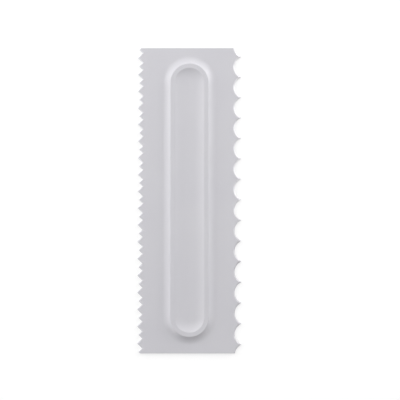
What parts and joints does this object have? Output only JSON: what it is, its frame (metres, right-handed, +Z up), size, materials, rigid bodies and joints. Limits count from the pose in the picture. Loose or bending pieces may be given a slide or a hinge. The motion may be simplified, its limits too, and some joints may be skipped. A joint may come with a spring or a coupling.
{
  "type": "cake comb",
  "caption": "Flat rectangular cake comb with alternating pointed teeth on one long side, round scallops on the other, and a raised stadium-shaped grip.",
  "frame": {"origin": "centre of the comb's outline, on its flat back face", "axes": "+Y along the length, +X across from the pointed teeth to the scallops, +Z up out of the raised grip"},
  "size_m": [0.0764, 0.225, 0.0045],
  "materials": {
    "comb_plastic": "satin moulded plastic, off-white with a faint cool tint"
  },
  "bodies": {
    "root": {"comb": "comb_plastic"}
  },
  "joints": []
}
